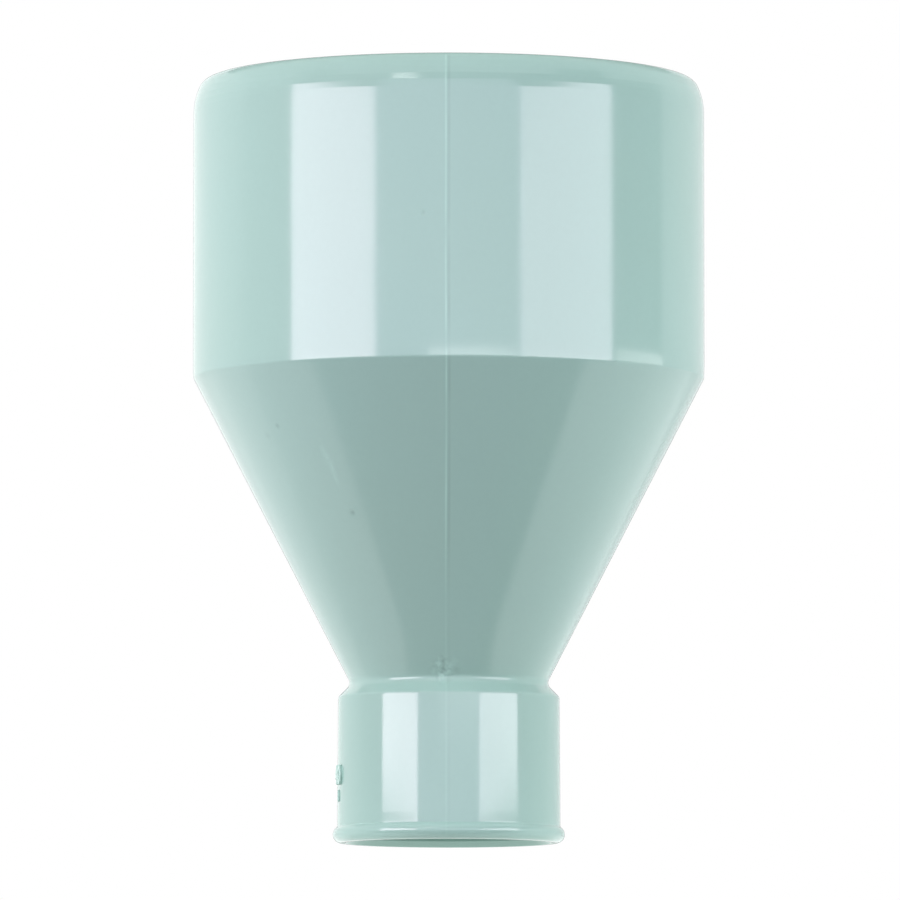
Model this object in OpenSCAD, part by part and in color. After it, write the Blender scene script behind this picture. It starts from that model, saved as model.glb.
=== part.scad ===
// Condensate drain funnel, moulded in one piece with its open bowl up and its pipe socket down.
// The origin is the centre of the socket mouth, with +Z up to the rim and -Y to the front.
// One closed section is turned about Z, and a thin parting line stands on it front and back.

/* [Bowl] */
// Height of the whole funnel, from the mouth of the socket to the rim
total_h = 154; // [148:0.5:175]
// Outside diameter of the straight bowl
bowl_d = 103; // [98:0.5:125]
// Height at which the cone meets the straight bowl
bowl_z = 93.7; // [85:0.1:105]
// Wall thickness of the bowl and of the cone
wall = 2.6; // [2:0.1:2.8]
// Rounding of the outer edge between cone and bowl
belly_round = 1.2; // [0.4:0.1:4]
// Rounding of the inner corner between cone and bowl
basin_round = 3; // [1:0.5:6]

/* [Rim] */
// Height of the band under the rim in which the wall draws in
draw_h = 6.8; // [5.5:0.1:9]
// Outside radius of the curve by which the wall draws in
draw_r = 12; // [10:0.5:20]
// Outside radius of the edge that turns over to the flat rim
rim_r = 3; // [3:0.1:4]
// Flat run of the lip from that edge to the opening
lip_run = 1.2; // [0.8:0.1:3]
// Rounding of the two edges of the lip
lip_edge = 0.5; // [0.2:0.1:0.7]

/* [Neck] */
// Outside diameter of the neck, the narrowest place
neck_d = 39.3; // [38.8:0.1:41]
// Height of the neck
neck_z = 31.9; // [31:0.1:36]
// Fillet in the notch of the neck
neck_fillet = 0.6; // [0.2:0.1:1.2]
// Inside diameter of the throat
throat_d = 34.4; // [32:0.1:34.6]
// Rounding of the inner edge where the cone runs into the throat
throat_round = 2; // [0.5:0.1:4]

/* [Socket] */
// Outside diameter of the socket near its mouth
socket_d = 44.8; // [44:0.1:46]
// Outside diameter of the socket under its shoulder
socket_top_d = 44.5; // [43.8:0.1:45.8]
// Inside diameter of the socket, for a pipe of 40 mm
bore_d = 40.2; // [40:0.05:40.6]
// Depth of the socket from its mouth to the stop
bore_depth = 26; // [22:0.5:27]
// Rounding of the outer edge of the shoulder
shoulder_round = 0.8; // [0.2:0.1:1.5]
// Radial size of the lead-in at the mouth
lead_in = 0.7; // [0.3:0.1:1]
// Height of the lead-in at the mouth
lead_in_h = 1.2; // [0.6:0.1:2]

/* [Bead] */
// Diameter over the bead around the mouth
bead_d = 46.6; // [46.2:0.1:47]
// Radius of the half-round bead, which starts at the mouth
bead_r = 1.7; // [1.5:0.05:1.9]
// Fillet between the bead and the socket
bead_fillet = 0.5; // [0.3:0.1:1]

/* [Parting line] */
// Width of the parting line that stands on the front and on the back
seam_w = 0.4; // [0.3:0.05:0.8]
// Height of the parting line over the surface
seam_h = 0.12; // [0.08:0.02:0.3]

/* [Hidden] */

// Sides of a turned face, and of a whole circle in the section
turn_sides = 72;
arc_sides = 20;

// How far a rounding disc passes the sides that it would only touch
crossing = 0.003;

// Radii of the outside
bowl_r = bowl_d / 2;
neck_r = neck_d / 2;
socket_r = socket_d / 2;
socket_top_r = socket_top_d / 2;
bead_centre_r = bead_d / 2 - bead_r;

// The shoulder falls from the neck at 45 degrees
shoulder_z = neck_z - (socket_top_r - neck_r);
// The socket keeps its full diameter for a short run over the bead and draws in above it
full_run = 2;
full_z = 2 * bead_r + full_run;

// The drawn-in wall turns by this angle before the edge of the rim takes over
draw_z = total_h - draw_h;
draw_turn = asin((draw_h - rim_r) / (draw_r - rim_r));
// Radius at which the flat of the rim starts, and radius of its opening
flat_r = bowl_r - draw_r + (draw_r - rim_r) * cos(draw_turn) + crossing;
lip_r = flat_r - lip_run;

// Radii of the inside
bore_r = bore_d / 2;
throat_r = throat_d / 2;
basin_r = bowl_r - wall;

// The inside of the cone runs parallel to the outside, one wall thickness in
cone_slope = (bowl_r - neck_r) / (bowl_z - neck_z);
cone_shift = wall * sqrt(1 + cone_slope * cone_slope);
basin_z = bowl_z + (basin_r + cone_shift - bowl_r) / cone_slope;
throat_z = neck_z + (throat_r + cone_shift - neck_r) / cone_slope;

// Overlap past an open end when a space is cut
past = 2;
// The parting line stops this far from the mouth and from the top of the rim
seam_end = 0.35;
// The parting line is rooted this deep in the wall
seam_root = 1;

// Unit vector along v, and unit vector at angle a
function unit(v) = v / norm(v);
function heading(a) = [cos(a), sin(a)];
// Half of the angle between the sides from corner p to a and to b
function half_angle(a, p, b) = acos(unit(a - p) * unit(b - p)) / 2;
// Where a rounding of radius r at corner p leaves the side to a
function leaves(a, p, b, r) = p + unit(a - p) * r / tan(half_angle(a, p, b));
// Centre of a rounding of radius r at corner p
function centre(a, p, b, r) = p + unit(unit(a - p) + unit(b - p)) * r / sin(half_angle(a, p, b));

// Centre of the curve by which the wall draws in, and where the edge of the rim takes over,
// for an outer face grown by g and a surface t inside it
function draw_centre(g) = [bowl_r + g - draw_r, draw_z];
function change(g, t) = draw_centre(g) + heading(draw_turn) * (draw_r - t);

// Disc of radius r about c
module disc(c, r) {
    translate(c) circle(r = r, $fn = arc_sides);
}

// Disc that rounds corner p between its neighbours a and b
module corner(a, p, b, r) {
    disc(centre(a, p, b, r), r + crossing);
}

// What carries the wall from upright to flat at the rim, t inside the outer face
module rim_turn(g, t) {
    intersection() {
        disc(draw_centre(g), draw_r - t);
        translate(draw_centre(g)) square([2 * draw_r, change(g, t)[1] - draw_z]);
    }
    disc([flat_r + g, total_h - rim_r], rim_r - t);
}

// Everything inside the outer face, filled to the axis and grown outward by g
module outer_section(g) {
    full = [socket_r + g, full_z];
    shoulder = [socket_top_r + g, shoulder_z];
    neck = [neck_r + g, neck_z];
    belly = [bowl_r + g, bowl_z];
    side_end = [bowl_r + g, draw_z];
    bead = [bead_centre_r + g, bead_r];
    root_x = socket_r + g + bead_fillet;
    root_rise = sqrt(pow(bead_r + bead_fillet, 2) - pow(root_x - bead[0], 2));
    root = [root_x, bead_r + root_rise];
    difference() {
        union() {
            polygon([
                [0, 0],
                [bead[0], 0],
                bead,
                bead + unit(root - bead) * bead_r,
                [socket_r + g, root[1]],
                full,
                leaves(full, shoulder, neck, shoulder_round),
                leaves(neck, shoulder, full, shoulder_round),
                leaves(shoulder, neck, belly, neck_fillet),
                leaves(belly, neck, shoulder, neck_fillet),
                leaves(neck, belly, side_end, belly_round),
                leaves(side_end, belly, neck, belly_round),
                side_end,
                change(g, 0),
                [flat_r + g, total_h],
                [0, total_h]
            ]);
            disc(bead, bead_r);
            corner(full, shoulder, neck, shoulder_round);
            corner(neck, belly, side_end, belly_round);
            rim_turn(g, 0);
        }
        corner(shoulder, neck, belly, neck_fillet);
        disc(root, bead_fillet + crossing);
    }
}

// The open space of the funnel: basin, cone, throat, socket bore and its lead-in
module space_section() {
    stop = [throat_r, bore_depth];
    throat = [throat_r, throat_z];
    basin = [basin_r, basin_z];
    side_end = [basin_r, draw_z];
    lip_low = [lip_r, total_h - wall];
    lip_high = [lip_r, total_h];
    difference() {
        union() {
            polygon([
                [0, -past],
                [bore_r + lead_in, -past],
                [bore_r + lead_in, 0],
                [bore_r, lead_in_h],
                [bore_r, bore_depth],
                stop,
                leaves(stop, throat, basin, throat_round),
                leaves(basin, throat, stop, throat_round),
                leaves(throat, basin, side_end, basin_round),
                leaves(side_end, basin, throat, basin_round),
                side_end,
                change(0, wall),
                [flat_r, total_h - wall],
                lip_low + [lip_edge, 0],
                lip_low + [0, lip_edge],
                lip_high - [0, lip_edge],
                lip_high + [lip_edge, 0],
                lip_high + [lip_edge, past],
                [0, total_h + past]
            ]);
            corner(throat, basin, side_end, basin_round);
            rim_turn(0, wall);
        }
        corner(stop, throat, basin, throat_round);
        disc(lip_low + [lip_edge, lip_edge], lip_edge);
        disc(lip_high + [lip_edge, -lip_edge], lip_edge);
    }
}

// The wall of the funnel turned about the axis
module shell() {
    rotate_extrude($fn = turn_sides) difference() {
        outer_section(0);
        space_section();
    }
}

// Thin slab of the outer face, raised by the height of the parting line, front and back
module parting_line() {
    intersection() {
        rotate_extrude($fn = turn_sides) difference() {
            outer_section(seam_h);
            outer_section(-seam_root);
        }
        translate([-seam_w / 2, -bowl_r - past, seam_end])
            cube([seam_w, 2 * (bowl_r + past), total_h - 2 * seam_end]);
    }
}

// The one moulding
module funnel() {
    color("lightcyan") union() {
        shell();
        parting_line();
    }
}

funnel();
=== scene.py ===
"""Looks of the condensate drain funnel: one glossy moulding in pale green plastic.

The wall is one section turned about the vertical axis. It has a fine parting line front and back,
the rough spot where it was gated, small marks of use, and raised numbers on the socket's left side.
Everything is in metres, with +Z up and -Y to the front.
"""

import bisect
import math
from collections import namedtuple

import bmesh
import bpy
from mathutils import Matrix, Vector, noise


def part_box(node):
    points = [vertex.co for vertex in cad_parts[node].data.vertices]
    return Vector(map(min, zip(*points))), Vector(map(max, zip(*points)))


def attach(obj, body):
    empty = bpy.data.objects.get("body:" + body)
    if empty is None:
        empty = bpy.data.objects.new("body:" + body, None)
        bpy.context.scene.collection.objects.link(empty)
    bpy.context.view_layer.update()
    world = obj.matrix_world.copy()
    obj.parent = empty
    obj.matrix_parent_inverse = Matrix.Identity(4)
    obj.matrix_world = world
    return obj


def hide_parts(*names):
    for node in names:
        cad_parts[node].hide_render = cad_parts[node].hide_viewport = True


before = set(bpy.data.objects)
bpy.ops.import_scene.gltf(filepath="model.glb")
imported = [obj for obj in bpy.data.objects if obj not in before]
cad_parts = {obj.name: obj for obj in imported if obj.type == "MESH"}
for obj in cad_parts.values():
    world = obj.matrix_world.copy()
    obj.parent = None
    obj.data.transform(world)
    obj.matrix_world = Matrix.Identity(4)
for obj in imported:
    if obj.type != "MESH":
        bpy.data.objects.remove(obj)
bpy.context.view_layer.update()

MM = 0.001

# Overall sizes
BASE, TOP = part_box("funnel")
TOTAL_H = TOP.z - BASE.z
BOWL_R = 51.5 * MM
WALL = 2.6 * MM
BELLY_Z = 93.7 * MM
BELLY_ROUND = 1.2 * MM
BASIN_ROUND = 3 * MM
# The wall of the bowl leans in a very little over the belly
LEAN_H = 3.8 * MM
LEAN_ANGLE = math.radians(2.5)

# Rim: the wall draws in, turns over an edge and ends in a flat lip
DRAW_H = 6.8 * MM
DRAW_R = 12 * MM
RIM_R = 3 * MM
LIP_RUN = 1.2 * MM
LIP_EDGE = 0.5 * MM

# Neck and throat
NECK_R = 19.65 * MM
NECK_Z = 31.9 * MM
NECK_FILLET = 1.6 * MM
THROAT_R = 17.2 * MM
THROAT_ROUND = 2 * MM

# Socket and its bead
SOCKET_R = 22.4 * MM
SOCKET_TOP_R = 22.25 * MM
SHOULDER_ROUND = 0.8 * MM
BORE_R = 20.1 * MM
BORE_DEPTH = 26 * MM
LEAD_IN = 0.7 * MM
LEAD_IN_H = 1.2 * MM
BEAD_OUT_R = 23.3 * MM
BEAD_R = 1.7 * MM
BEAD_FILLET = 0.5 * MM
DRAFT_START = 5.4 * MM
SMALL_EDGE = 0.15 * MM

# Steps of the turned wall, and of the section
TURN_STEPS = 272
ARC_ANGLE = math.radians(7)
ROW_GAP = 3 * MM
EDGE_GAP = 0.15 * MM
# Longest edges of the wall at its small marks, and at the scuff
MARK_EDGE = 0.18 * MM
SCUFF_EDGE = 0.3 * MM

# Parting line: a low ridge that is a little paler than the wall, with a darker line along its right
# side
SEAM_HEIGHT = 0.04 * MM
SEAM_HALF = 0.28 * MM
SEAM_END = 0.4 * MM
SEAM_PALE = 0.36
DARK_LINE_X = 0.62 * MM
DARK_LINE_HALF = 0.42 * MM
DARK_LINE_TONE = 0.13
# Columns of the wall that carry the line, from its middle
SEAM_COLUMNS = [x * MM for x in (-0.28, -0.14, 0.14, 0.28, 0.45, 0.62, 0.83, 1.04)]
# The line is faint on the socket and the low part of the cone, and full above them
SEAM_FAINT = 0.3
SEAM_FAINT_Z = 46 * MM
SEAM_FULL_Z = 62 * MM
# The line stands a little to the left of the middle plane, and wanders along its length
SEAM_SHIFT = -0.55 * MM
SEAM_WANDER = 0.12 * MM
SEAM_REACH = 2.4 * MM

# Rough spot over the neck, where the moulding was gated, and the size of its lumps. Its raised lumps
# have painted light and its torn-in pits painted shade
GATE_X = -0.6 * MM
GATE_Z = 33.9 * MM
GATE_R = 3.4 * MM
GATE_LIFT = 0.12 * MM
GATE_PAINTED_LIGHT = 0.35
GATE_PAINTED_SHADE = 0.24
GATE_LUMP = 1.2 * MM

# Reach of a small mark, with the shallow ring around it, over its radius
MARK_REACH = 1.6
# Small marks on the front: place across, height, radius, how far they stand out and how dark they are
Mark = namedtuple("Mark", "x z radius lift dark")
MARKS = (
    Mark(-5.0 * MM, 122.0 * MM, 0.7 * MM, 0.06 * MM, 0.12),
    Mark(-34.0 * MM, 81.6 * MM, 1.0 * MM, 0.02 * MM, 0.2),
    Mark(-36.0 * MM, 80.0 * MM, 1.4 * MM, 0.01 * MM, 0.08),
    Mark(-19.0 * MM, 64.2 * MM, 0.9 * MM, -0.06 * MM, 0.25),
)

# Scuff on the cone, from its upper to its lower end
SCUFF_TOP = Vector((-25.8, 79.0)) * MM
SCUFF_LOW = Vector((-21.5, 69.0)) * MM
SCUFF_HALF = 0.9 * MM
SCUFF_DEPTH = 0.012 * MM
SCUFF_PALE = 0.4
SCUFF_PATCH = 2.2 * MM

# Raised numbers: the pipe size, and the smaller number of the mould's cavity under it
NUMBER_LIFT = 0.5 * MM
NUMBER_ROOT = 0.3 * MM
# Painted light: the raised numbers are painted paler than the wall around them
NUMBER_PAINTED_LIGHT = 0.4
# They stand a little before the left side
NUMBER_TURN = math.radians(11)
SIZE_NUMBER_Z = 13.5 * MM
SIZE_NUMBER_H = 4.0 * MM
CAVITY_NUMBER_Z = 9.3 * MM
CAVITY_NUMBER_H = 2.3 * MM
CAVITY_NUMBER_LIFT = 0.3 * MM

# Colour of the plastic, without its gloss
PLASTIC = (0.315, 0.5, 0.44)

# Where the floor starts to run out to white, and where it is white
FLOOR_PALE = 0.35
FLOOR_WHITE = 1.5
SHEET_HALF = 8

# Camera: a long lens from a little below the mouth
EYE = Vector((0.24, -2088, -89.2)) * MM
TIPPED_UP = math.radians(4.61)
LENS = 416.2

# Cards of the studio: how low they lie, and where the dark ground in front ends
CARD_Z = -0.1
TABLE_EDGE = -0.103
# A small card lies close under the mouth and lights the bead and the bore from below
MOUTH_CARD_Z = -0.012


# Section of the wall

def heading(angle):
    """Unit vector at an angle in the section, where X is the radius and Y the height."""
    return Vector((math.cos(angle), math.sin(angle)))


def arc(centre, radius, start, stop):
    """Points of an arc from angle start to angle stop."""
    steps = max(3, math.ceil(abs(stop - start) / ARC_ANGLE))
    return [centre + heading(start + (stop - start) * i / steps) * radius for i in range(steps + 1)]


def rounded(before, corner, after, radius):
    """Points of the rounding of a corner between two straight sides."""
    to_before = (before - corner).normalized()
    to_after = (after - corner).normalized()
    half = to_before.angle(to_after) / 2
    centre = corner + (to_before + to_after).normalized() * radius / math.sin(half)
    first = corner + to_before * radius / math.tan(half) - centre
    last = corner + to_after * radius / math.tan(half) - centre
    start = math.atan2(first.y, first.x)
    turn = math.remainder(math.atan2(last.y, last.x) - start, 2 * math.pi)
    return arc(centre, radius, start, start + turn)


def with_rows(outline):
    """The closed outline with rows along its straight runs, and one close to each end of a run."""
    filled = []
    for here, there in zip(outline, outline[1:] + outline[:1]):
        filled.append(here)
        run = there - here
        if run.length > 4 * EDGE_GAP:
            along = run.normalized()
            rows = max(1, round(run.length / ROW_GAP))
            inner = [run * i / rows for i in range(1, rows)]
            filled += [here + step for step in [along * EDGE_GAP, *inner, run - along * EDGE_GAP]]
    return filled


def wall_section():
    """Both halves of the wall's outline: up the outside and over the rim, and down the inside."""
    right, up = 0, math.pi / 2
    draw_z = TOTAL_H - DRAW_H
    draw_centre = Vector((BOWL_R - DRAW_R, draw_z))
    draw_turn = math.asin((DRAW_H - RIM_R) / (DRAW_R - RIM_R))
    rim_centre = draw_centre + heading(draw_turn) * (DRAW_R - RIM_R)
    lip_r = rim_centre.x - LIP_RUN

    bead = Vector((BEAD_OUT_R - BEAD_R, BEAD_R))
    root_x = SOCKET_R + BEAD_FILLET
    root = Vector((root_x, BEAD_R + math.sqrt((BEAD_R + BEAD_FILLET) ** 2 - (root_x - bead.x) ** 2)))
    bead_end = math.atan2(root.y - bead.y, root.x - bead.x)

    full = Vector((SOCKET_R, DRAFT_START))
    shoulder = Vector((SOCKET_TOP_R, NECK_Z - (SOCKET_TOP_R - NECK_R)))
    neck = Vector((NECK_R, NECK_Z))

    cone_slope = (BOWL_R - NECK_R) / (BELLY_Z - NECK_Z)
    lean = math.tan(LEAN_ANGLE)
    lean_r = LEAN_H / math.sin(LEAN_ANGLE)
    lean_centre = Vector((BOWL_R - lean_r, BELLY_Z + LEAN_H))
    lean_low = lean_centre + heading(-LEAN_ANGLE) * lean_r
    belly_z = (lean_low.x - lean_low.y * lean - NECK_R + NECK_Z * cone_slope) / (cone_slope - lean)
    belly = Vector((NECK_R + cone_slope * (belly_z - NECK_Z), belly_z))
    cone_shift = WALL * math.sqrt(1 + cone_slope ** 2)
    basin_r = BOWL_R - WALL
    inner_end = Vector((basin_r, draw_z))
    basin = Vector((basin_r, BELLY_Z + (basin_r + cone_shift - BOWL_R) / cone_slope))
    throat = Vector((THROAT_R, NECK_Z + (THROAT_R + cone_shift - NECK_R) / cone_slope))
    stop = Vector((THROAT_R, BORE_DEPTH))
    bore_top = Vector((BORE_R, BORE_DEPTH))
    bore_low = Vector((BORE_R, LEAD_IN_H))
    mouth = Vector((BORE_R + LEAD_IN, 0))
    lip_low = Vector((lip_r, TOTAL_H - WALL))
    lip_high = Vector((lip_r, TOTAL_H))

    outside = [
        *arc(bead, BEAD_R, -up, bead_end),
        *arc(root, BEAD_FILLET, bead_end + math.pi, math.pi)[1:],
        full,
        *rounded(full, shoulder, neck, SHOULDER_ROUND),
        *rounded(shoulder, neck, belly, NECK_FILLET),
        *rounded(neck, belly, belly + Vector((lean, 1)) * BELLY_ROUND, BELLY_ROUND),
        *arc(lean_centre, lean_r, -LEAN_ANGLE + BELLY_ROUND / lean_r, right),
        *arc(draw_centre, DRAW_R, right, draw_turn),
        *arc(rim_centre, RIM_R, draw_turn, up)[1:],
    ]
    inside = [
        *rounded(lip_high + Vector((LIP_RUN, 0)), lip_high, lip_low, LIP_EDGE),
        *rounded(lip_high, lip_low, lip_low + Vector((LIP_RUN, 0)), LIP_EDGE),
        *arc(rim_centre, RIM_R - WALL, up, draw_turn),
        *arc(draw_centre, DRAW_R - WALL, draw_turn, right)[1:],
        *rounded(inner_end, basin, throat, BASIN_ROUND),
        *rounded(basin, throat, stop, THROAT_ROUND),
        *rounded(throat, stop, bore_top, SMALL_EDGE),
        *rounded(stop, bore_top, bore_low, SMALL_EDGE),
        *rounded(bore_top, bore_low, mouth, SMALL_EDGE),
        *rounded(bore_low, mouth, Vector((bead.x, 0)), SMALL_EDGE),
    ]
    return outside, inside


# Mesh work

def finished(bm, name, material):
    """Makes the mesh an object at the origin that rides on the body."""
    mesh = bpy.data.meshes.new(name)
    bm.to_mesh(mesh)
    bm.free()
    mesh.shade_smooth()
    mesh.materials.append(material)
    piece = bpy.data.objects.new(name, mesh)
    bpy.context.scene.collection.objects.link(piece)
    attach(piece, "root")
    return piece


def turned_wall(outside, inside):
    """The section turned once round the axis, with its faces pointing out of the wall."""
    bm = bmesh.new()
    points = [bm.verts.new((p.x, 0, p.y)) for p in with_rows(outside + inside)]
    for here, there in zip(points, points[1:] + points[:1]):
        bm.edges.new((here, there))
    bmesh.ops.spin(
        bm, geom=bm.verts[:] + bm.edges[:], cent=(0, 0, 0), axis=(0, 0, 1),
        angle=2 * math.pi, steps=TURN_STEPS, use_merge=True,
    )
    bmesh.ops.recalc_face_normals(bm, faces=bm.faces[:])
    return bm


def faces_outward(normal, place):
    """Whether a point with this normal is on the outside of the wall."""
    return normal.x * place.x + normal.y * place.y > 0.02 * math.hypot(place.x, place.y)


def outside_radius(outside, z):
    """Radius of the outside at a height below the flat of the rim."""
    upper = bisect.bisect_right([p.y for p in outside], z, 1, len(outside) - 1)
    low, high = outside[upper - 1], outside[upper]
    share = (z - low.y) / (high.y - low.y)
    return low.x + (high.x - low.x) * share


def on_front(outside, x, z):
    """The point of the outside at this place across and this height, on the front."""
    return Vector((x, -math.sqrt(outside_radius(outside, z) ** 2 - x ** 2), z))


def cut_columns(bm):
    """Cuts narrow columns into the outside, front and back, for the parting line."""
    near = 2 * MM
    for x in SEAM_COLUMNS:
        faces = [f for f in bm.faces if min(abs(v.co.x) for v in f.verts) < near]
        faces = [f for f in faces if faces_outward(f.normal, f.calc_center_median())]
        edges = {e for f in faces for e in f.edges}
        verts = {v for f in faces for v in f.verts}
        bmesh.ops.bisect_plane(
            bm, geom=[*verts, *edges, *faces], dist=1e-7, plane_co=(x, 0, 0), plane_no=(1, 0, 0),
        )


def refine(bm, centre, reach, longest):
    """Halves the edges of the outside around a point until none is longer than asked."""
    while True:
        edges = set()
        for face in bm.faces:
            place = face.calc_center_median()
            distance = (place - centre).length
            size = max(e.calc_length() for e in face.edges) if distance < 2 * reach + ROW_GAP else 0
            if distance < reach + size / 2 and faces_outward(face.normal, place):
                edges.update(e for e in face.edges if e.calc_length() > longest)
        if not edges:
            return
        bmesh.ops.subdivide_edges(bm, edges=list(edges), cuts=1, use_grid_fill=True)


def seat_on_outside(bm, outside):
    """Moves the new points of the outside from the chords they were cut on to the true round."""
    for v in bm.verts:
        radius = math.hypot(v.co.x, v.co.y)
        if v.co.z < TOTAL_H - EDGE_GAP / 10:
            target = outside_radius(outside, v.co.z)
            if abs(radius - target) < 0.02 * MM:
                v.co.xy = v.co.xy * target / radius


def hump(distance, radius):
    """A smooth hump, 1 at its middle and 0 from its radius on."""
    if distance >= radius:
        return 0.0
    return (math.cos(math.pi * distance / radius) + 1) / 2


def clamped(share):
    return max(0.0, min(1.0, share))


def seam_strength(place):
    """How strong the parting line is here: uneven, faint low down, and fading out at its ends."""
    end_share = clamped(min(place.z, TOTAL_H - place.z) / SEAM_END - 1)
    full_share = clamped((place.z - SEAM_FAINT_Z) / (SEAM_FULL_Z - SEAM_FAINT_Z))
    uneven = 0.8 + 0.7 * noise.noise(Vector((place.y * 20, 0, place.z * 140)))
    return end_share * (SEAM_FAINT + (1 - SEAM_FAINT) * full_share) * max(0.0, uneven)


def gate_lump(distance, place):
    """How the rough spot is at a point, from 1 where it stands up most to -1 where it is torn in."""
    lumps = 1.7 * noise.fractal(place / GATE_LUMP, 1, 2, 2)
    return max(-1.0, min(1.0, lumps)) * math.sqrt(hump(distance, GATE_R))


def scuff_share(place, top, low):
    """How strongly the scuff shows at a point: broken along its length and soft at its sides."""
    along = low - top
    share = (place - top).dot(along) / along.length_squared
    if not 0 < share < 1:
        return 0.0
    side = (place - top - along * share).length
    broken = 0.55 + 0.9 * noise.noise(place / SCUFF_PATCH)
    return hump(side, SCUFF_HALF) * math.sin(math.pi * share) * clamped(broken)


def mark_outside(bm, outside):
    """Raises the parting line, the rough spot and the small marks, and notes where they show."""
    dark = bm.verts.layers.float.new("dark")
    pale = bm.verts.layers.float.new("pale")
    scuffed = bm.verts.layers.float.new("scuffed")
    gate = on_front(outside, GATE_X, GATE_Z)
    top = on_front(outside, *SCUFF_TOP)
    low = on_front(outside, *SCUFF_LOW)
    spots = [(mark, on_front(outside, mark.x, mark.z)) for mark in MARKS]

    cut_columns(bm)
    refine(bm, gate, GATE_R, MARK_EDGE)
    for mark, centre in spots:
        refine(bm, centre, MARK_REACH * mark.radius, MARK_EDGE)
    scuff_steps = 8
    for step in range(scuff_steps + 1):
        refine(bm, top.lerp(low, step / scuff_steps), 1.3 * SCUFF_HALF, SCUFF_EDGE)
    seat_on_outside(bm, outside)
    bm.normal_update()

    lifts = []
    for v in bm.verts:
        if not faces_outward(v.normal, v.co):
            continue
        strength = seam_strength(v.co)
        crest = clamped(1 - abs(v.co.x) / SEAM_HALF) * strength
        lift = SEAM_HEIGHT * crest
        v[pale] = SEAM_PALE * crest
        v[dark] = DARK_LINE_TONE * hump(abs(v.co.x - DARK_LINE_X), DARK_LINE_HALF) * strength
        gate_distance = (v.co - gate).length
        if gate_distance < GATE_R:
            lump = gate_lump(gate_distance, v.co)
            lift += GATE_LIFT * lump
            # Painted light on the raised lumps, and painted shade in the torn-in pits
            v[pale] = max(v[pale], GATE_PAINTED_LIGHT * lump)
            v[dark] = max(v[dark], -GATE_PAINTED_SHADE * lump)
        for mark, centre in spots:
            distance = (v.co - centre).length
            if distance < MARK_REACH * mark.radius:
                rim = 0.35 * hump(abs(distance - 1.2 * mark.radius), 0.4 * mark.radius)
                lift += mark.lift * (hump(distance, mark.radius) - rim)
                v[dark] = max(v[dark], mark.dark * hump(distance, 0.9 * mark.radius))
        share = scuff_share(v.co, top, low)
        v[scuffed] = share
        v[pale] = max(v[pale], SCUFF_PALE * share)
        lift -= SCUFF_DEPTH * share
        if lift:
            lifts.append((v, v.normal * lift))
    for v, lift in lifts:
        v.co += lift


def wander_seam(bm):
    """Shifts the parting line sideways, unevenly, with its surroundings easing it in."""
    core = SEAM_COLUMNS[-1]
    for v in bm.verts:
        if abs(v.co.x) < SEAM_REACH and faces_outward(v.normal, v.co):
            radius = math.hypot(v.co.x, v.co.y)
            share = min(1.0, (SEAM_REACH - abs(v.co.x)) / (SEAM_REACH - core))
            uneven = noise.noise(Vector((math.copysign(3, v.co.y), 0, v.co.z * 30)))
            v.co.x += (SEAM_SHIFT + SEAM_WANDER * uneven) * share
            v.co.y = math.copysign(math.sqrt(radius ** 2 - v.co.x ** 2), v.co.y)


def add_raised_number(bm, text, height, middle_z, lift):
    """Adds a number bent on to the socket's left side, with its root in the wall."""
    curve = bpy.data.curves.new("number", "FONT")
    curve.body = text
    curve.align_x = "CENTER"
    curve.resolution_u = 6
    curve.extrude = 0.03
    curve.bevel_depth = 0.05
    curve.bevel_resolution = 3
    writing = bpy.data.objects.new("number", curve)
    bpy.context.scene.collection.objects.link(writing)
    mesh = bpy.data.meshes.new_from_object(writing.evaluated_get(bpy.context.evaluated_depsgraph_get()))
    low = Vector(min(v.co[i] for v in mesh.vertices) for i in range(3))
    high = Vector(max(v.co[i] for v in mesh.vertices) for i in range(3))
    scale = height / (high.y - low.y)
    for v in mesh.vertices:
        angle = NUMBER_TURN + (v.co.x - (low.x + high.x) / 2) * scale / SOCKET_R
        out = (v.co.z - low.z) / (high.z - low.z)
        radius = SOCKET_R - NUMBER_ROOT + out * (NUMBER_ROOT + lift)
        z = middle_z + (v.co.y - (low.y + high.y) / 2) * scale
        v.co = (-radius * math.cos(angle), -radius * math.sin(angle), z)
    wall_points = len(bm.verts)
    bm.from_mesh(mesh)
    pale = bm.verts.layers.float["pale"]
    # Painted light: the numbers are painted paler than the wall
    for v in list(bm.verts)[wall_points:]:
        v[pale] = NUMBER_PAINTED_LIGHT
    bpy.data.objects.remove(writing)
    bpy.data.curves.remove(curve)
    bpy.data.meshes.remove(mesh)


def funnel_wall(material):
    outside, inside = wall_section()
    bm = turned_wall(outside, inside)
    mark_outside(bm, outside)
    wander_seam(bm)
    add_raised_number(bm, "40", SIZE_NUMBER_H, SIZE_NUMBER_Z, NUMBER_LIFT)
    add_raised_number(bm, "1", CAVITY_NUMBER_H, CAVITY_NUMBER_Z, CAVITY_NUMBER_LIFT)
    wall = finished(bm, "funnel_wall", material)
    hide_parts("funnel")
    return wall


# Materials

def new_material(name):
    material = bpy.data.materials.new(name)
    material.use_nodes = True
    material.node_tree.nodes.clear()
    return material, material.node_tree.nodes, material.node_tree.links


def noise_on_surface(nodes, links, place, scale, detail, low, high):
    """A noise pattern fixed to the object, spread over a range of values."""
    pattern = nodes.new("ShaderNodeTexNoise")
    pattern.inputs["Scale"].default_value = scale
    pattern.inputs["Detail"].default_value = detail
    links.new(place, pattern.inputs["Vector"])
    spread = nodes.new("ShaderNodeMapRange")
    spread.inputs["From Min"].default_value = 0.3
    spread.inputs["From Max"].default_value = 0.7
    spread.inputs["To Min"].default_value = low
    spread.inputs["To Max"].default_value = high
    links.new(pattern.outputs["Fac"], spread.inputs["Value"])
    return spread.outputs["Result"]


def added(nodes, links, value, share, amount):
    """A value with a share of an attribute added to it."""
    node = nodes.new("ShaderNodeMath")
    node.operation = "MULTIPLY_ADD"
    links.new(share, node.inputs[0])
    node.inputs[1].default_value = amount
    links.new(value, node.inputs[2])
    return node.outputs[0]


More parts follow.
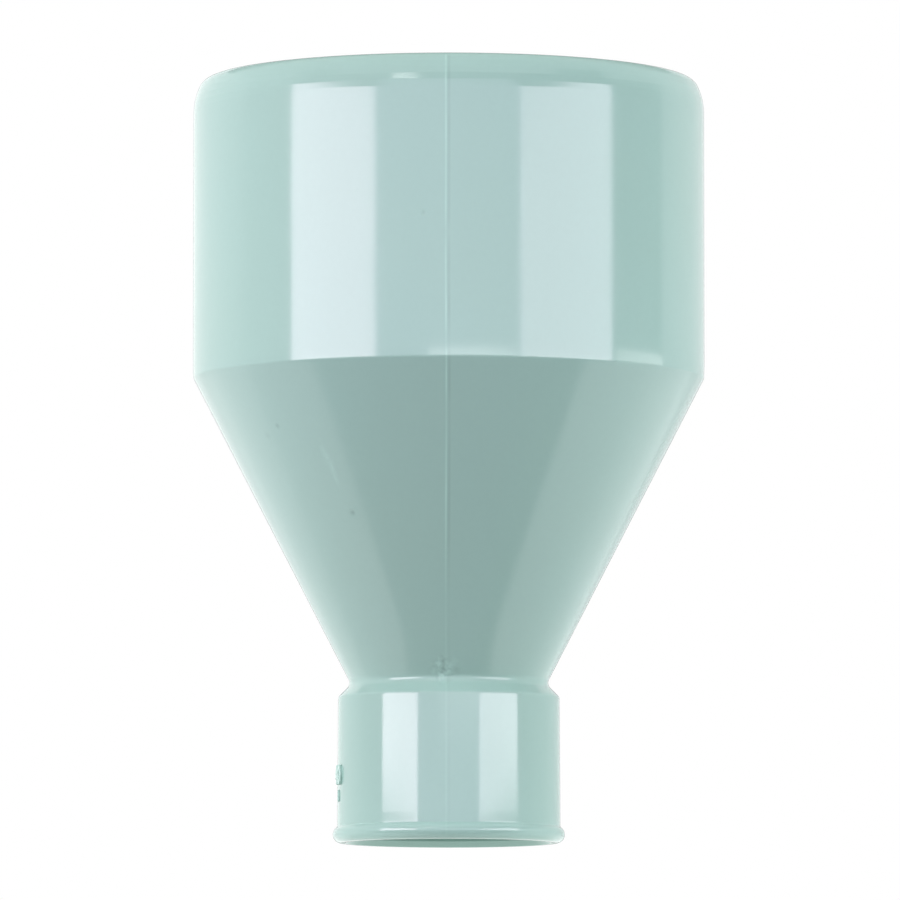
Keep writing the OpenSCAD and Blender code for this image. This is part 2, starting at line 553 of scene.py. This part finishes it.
def tinted(nodes, links, colour, share, tint):
    """A colour mixed towards a tint."""
    mix = nodes.new("ShaderNodeMixRGB")
    links.new(share, mix.inputs["Fac"])
    links.new(colour, mix.inputs["Color1"])
    mix.inputs["Color2"].default_value = (*tint, 1)
    return mix.outputs["Color"]


def attribute(nodes, name):
    node = nodes.new("ShaderNodeAttribute")
    node.attribute_name = name
    return node.outputs["Fac"]


def glossy_plastic(colour):
    """Rigid pale green plastic as it comes from a polished mould, a little uneven."""
    material, nodes, links = new_material("glossy_plastic")
    out = nodes.new("ShaderNodeOutputMaterial")
    shader = nodes.new("ShaderNodeBsdfPrincipled")
    shader.inputs["IOR"].default_value = 1.5
    place = nodes.new("ShaderNodeTexCoord").outputs["Object"]
    dark = attribute(nodes, "dark")
    pale = attribute(nodes, "pale")
    scuffed = attribute(nodes, "scuffed")

    plain = nodes.new("ShaderNodeRGB")
    plain.outputs[0].default_value = (*colour, 1)
    clouds = noise_on_surface(nodes, links, place, scale=22, detail=3, low=0, high=0.16)
    grains = noise_on_surface(nodes, links, place, scale=900, detail=2, low=0, high=0.06)
    cool = [0.9 * colour[0], 0.98 * colour[1], 1.06 * colour[2]]
    deep = [0.8 * channel for channel in colour]
    wear_and_painted_light = [1.6 * channel for channel in colour]
    paint = tinted(nodes, links, plain.outputs[0], clouds, cool)
    paint = tinted(nodes, links, paint, grains, deep)
    # Paler: wear on the scuff and the seam's paler flash, and painted light on the rough spot's lumps
    # and the raised numbers
    paint = tinted(nodes, links, paint, pale, wear_and_painted_light)
    # Darker: specks and the line beside the seam, and painted shade in the rough spot's pits
    paint = tinted(nodes, links, paint, dark, (0.06, 0.08, 0.07))
    links.new(paint, shader.inputs["Base Color"])

    gloss = noise_on_surface(nodes, links, place, scale=60, detail=4, low=0.10, high=0.14)
    gloss = added(nodes, links, gloss, share=scuffed, amount=0.25)
    links.new(added(nodes, links, gloss, share=dark, amount=0.3), shader.inputs["Roughness"])

    swell = nodes.new("ShaderNodeBump")
    swell.inputs["Distance"].default_value = 0.02 * MM
    waves = noise_on_surface(nodes, links, place, scale=45, detail=2, low=0, high=1)
    links.new(waves, swell.inputs["Height"])
    skin = nodes.new("ShaderNodeBump")
    skin.inputs["Distance"].default_value = 0.0006 * MM
    pores = noise_on_surface(nodes, links, place, scale=1400, detail=2, low=0, high=1)
    links.new(pores, skin.inputs["Height"])
    links.new(swell.outputs["Normal"], skin.inputs["Normal"])
    links.new(skin.outputs["Normal"], shader.inputs["Normal"])
    links.new(shader.outputs["BSDF"], out.inputs["Surface"])
    return material


def glow(name, radiance):
    """An even glow of the given radiance, or a black card at 0."""
    material, nodes, links = new_material(name)
    out = nodes.new("ShaderNodeOutputMaterial")
    shine = nodes.new("ShaderNodeEmission")
    shine.inputs["Strength"].default_value = radiance
    links.new(shine.outputs[0], out.inputs["Surface"])
    return material


# Studio

# What the panels light: the funnel, but not the floor, which has the even light of the surroundings
panel_lit = bpy.data.collections.new("panel_lit")


def soft_panel(name, centre, facing, width, height, radiance, colour=(1, 1, 1), mirrored_only=False):
    """A flat soft light of the given radiance that the camera doesn't see."""
    light = bpy.data.lights.new(name, "AREA")
    light.shape = "RECTANGLE"
    light.size = width
    light.size_y = height
    light.energy = radiance * math.pi * width * height
    light.color = colour
    lamp = bpy.data.objects.new(name, light)
    lamp.location = centre
    lamp.rotation_mode = "QUATERNION"
    lamp.rotation_quaternion = Vector(facing).to_track_quat("-Z", "Y")
    lamp.visible_camera = False
    lamp.visible_diffuse = not mirrored_only
    lamp.light_linking.receiver_collection = panel_lit
    bpy.context.scene.collection.objects.link(lamp)


def stage_sheet(name, corners, material):
    """A flat sheet that belongs to the studio."""
    bm = bmesh.new()
    bm.faces.new([bm.verts.new(corner) for corner in corners])
    mesh = bpy.data.meshes.new(name)
    bm.to_mesh(mesh)
    bm.free()
    mesh.materials.append(material)
    sheet = bpy.data.objects.new(name, mesh)
    bpy.context.scene.collection.objects.link(sheet)
    return sheet


def level_card(name, left, right, front, back, radiance, z=CARD_Z):
    """A card lying under the floor, which only the plastic mirrors and is lit by."""
    corners = [(left, front, z), (right, front, z), (right, back, z), (left, back, z)]
    card = stage_sheet(name, corners, glow(name, radiance))
    card.visible_camera = False


def standing_card(name, start, stop, low, high, radiance):
    """A card standing upright in the studio, which only the plastic mirrors and is lit by."""
    corners = [(*start, low), (*stop, low), (*stop, high), (*start, high)]
    card = stage_sheet(name, corners, glow(name, radiance))
    card.visible_camera = False


def cards():
    """Dark ground in front, a table with a painted shadow of the funnel under it, and upright cards
    around.
    """
    level_card("front_card", -SHEET_HALF, SHEET_HALF, -SHEET_HALF, TABLE_EDGE, 0)
    level_card("left_card", -5, -0.12, TABLE_EDGE, 0.12, 1.1)
    # Painted shadow: the table card is dim under the funnel, where its shadow falls
    level_card("table_painted_shadow", -0.12, 0.12, TABLE_EDGE, 0.12, 0.25)
    level_card("right_card", 0.12, 5, TABLE_EDGE, 0.12, 1.3)
    level_card("back_card", -5, 5, 0.12, 5, 1.45)
    level_card("mouth_card", -0.03, 0.03, -0.03, 0.03, 1.15, MOUTH_CARD_Z)
    standing_card("left_back_card", (-1.2, 0.3), (-0.2, 1.2), CARD_Z, 0.7, 1.25)
    standing_card("right_back_card", (1.2, 0.3), (0.2, 1.2), CARD_Z, 0.7, 1.0)
    standing_card("middle_back_card", (-0.2, 1.2), (0.2, 1.2), CARD_Z, 0.7, 0.44)
    standing_card("right_flag", (0.40, -0.11), (0.40, 0.115), 0.12, 0.3, 0.29)
    standing_card("back_upper_screen", (-1.2, 1.2), (1.2, 1.2), 0.7, 1.8, 0.4)
    standing_card("front_screen", (-1.2, -1.8), (1.2, -1.8), CARD_Z, 0.62, 0.95)
    standing_card("upper_screen", (-1.2, -1.8), (1.2, -1.8), 0.62, 1.15, 0.26)
    standing_card("left_screen", (-0.46, -0.75), (-0.46, -0.14), 0.26, 0.5, 0.5)
    standing_card("right_screen", (0.44, -0.75), (0.44, -0.1), 0.26, 0.5, 0.05)


def white_surroundings():
    """Even white light from everywhere, which is also the white that the camera sees."""
    world = bpy.data.worlds.new("studio")
    world.use_nodes = True
    nodes, links = world.node_tree.nodes, world.node_tree.links
    nodes.clear()
    white = nodes.new("ShaderNodeBackground")
    white.inputs["Color"].default_value = (1, 1, 1, 1)
    out = nodes.new("ShaderNodeOutputWorld")
    links.new(white.outputs[0], out.inputs["Surface"])
    bpy.context.scene.world = world


def floor_material():
    """Pale floor that runs out to white, seen only from above."""
    material, nodes, links = new_material("pale_floor")
    place = nodes.new("ShaderNodeTexCoord")
    reach = nodes.new("ShaderNodeVectorMath")
    reach.operation = "LENGTH"
    links.new(place.outputs["Object"], reach.inputs[0])
    fade = nodes.new("ShaderNodeMapRange")
    fade.interpolation_type = "SMOOTHSTEP"
    fade.inputs["From Min"].default_value = FLOOR_PALE
    fade.inputs["From Max"].default_value = FLOOR_WHITE
    links.new(reach.outputs["Value"], fade.inputs["Value"])
    paint = nodes.new("ShaderNodeBsdfDiffuse")
    paint.inputs["Color"].default_value = (0.76, 0.76, 0.76, 1)
    white = nodes.new("ShaderNodeEmission")
    top = nodes.new("ShaderNodeMixShader")
    links.new(fade.outputs[0], top.inputs["Fac"])
    links.new(paint.outputs[0], top.inputs[1])
    links.new(white.outputs[0], top.inputs[2])
    clear = nodes.new("ShaderNodeBsdfTransparent")
    side = nodes.new("ShaderNodeNewGeometry")
    both = nodes.new("ShaderNodeMixShader")
    links.new(side.outputs["Backfacing"], both.inputs["Fac"])
    links.new(top.outputs[0], both.inputs[1])
    links.new(clear.outputs[0], both.inputs[2])
    out = nodes.new("ShaderNodeOutputMaterial")
    links.new(both.outputs[0], out.inputs["Surface"])
    return material


def floor():
    """The floor under the mouth. Only the camera sees it: the plastic has the cards instead."""
    corners = [(x * SHEET_HALF, y * SHEET_HALF, 0) for x, y in ((-1, -1), (1, -1), (1, 1), (-1, 1))]
    sheet = stage_sheet("floor", corners, floor_material())
    sheet.visible_diffuse = False
    sheet.visible_glossy = False
    sheet.visible_transmission = False
    sheet.visible_shadow = False


def camera():
    """Long lens from a little below the mouth, tipped up at the funnel, as in the photograph."""
    lens = bpy.data.cameras.new("camera")
    lens.sensor_width = 36
    lens.lens = LENS
    eye = bpy.data.objects.new("camera", lens)
    eye.location = EYE
    eye.rotation_euler = (math.pi / 2 + TIPPED_UP, 0, 0)
    bpy.context.scene.collection.objects.link(eye)
    bpy.context.scene.camera = eye


camera()
white_surroundings()
floor()
cards()
soft_panel("left_panel", (-0.42, -0.407, 0.14), (1, 0, 0), 0.526, 0.22, 5.6, (1.21, 1, 1.18))
soft_panel("left_low_panel", (-0.418, -0.407, 0.065), (1, 0, 0), 0.526, 0.07, 2.4)
soft_panel("right_panel", (0.40, -0.3875, 0.14), (-1, 0, 0), 0.545, 0.22, 4.1, (1.12, 1, 1.16))
soft_panel("right_low_panel", (0.398, -0.3875, 0.065), (-1, 0, 0), 0.545, 0.07, 2.75)
soft_panel("window_panel", (-0.3, -0.83, 0.5), (0.3, 0.83, -0.36), 0.18, 0.07, 9)
soft_panel("front_panel", (0, -1.75, 0.3), (0, 1, 0), 2.3, 0.6, 0.9, (1.1, 1, 1.45), mirrored_only=True)
soft_panel("front_edge_panel", (0.12, -0.6, 0.0975), (0, 1, 0), 0.42, 0.045, 3.6, mirrored_only=True)
soft_panel("right_edge_panel", (0.40, 0.01, 0.0975), (-1, 0, 0), 0.21, 0.045, 2.2, mirrored_only=True)

panel_lit.objects.link(funnel_wall(glossy_plastic(PLASTIC)))

bpy.context.scene.view_settings.view_transform = "Standard"
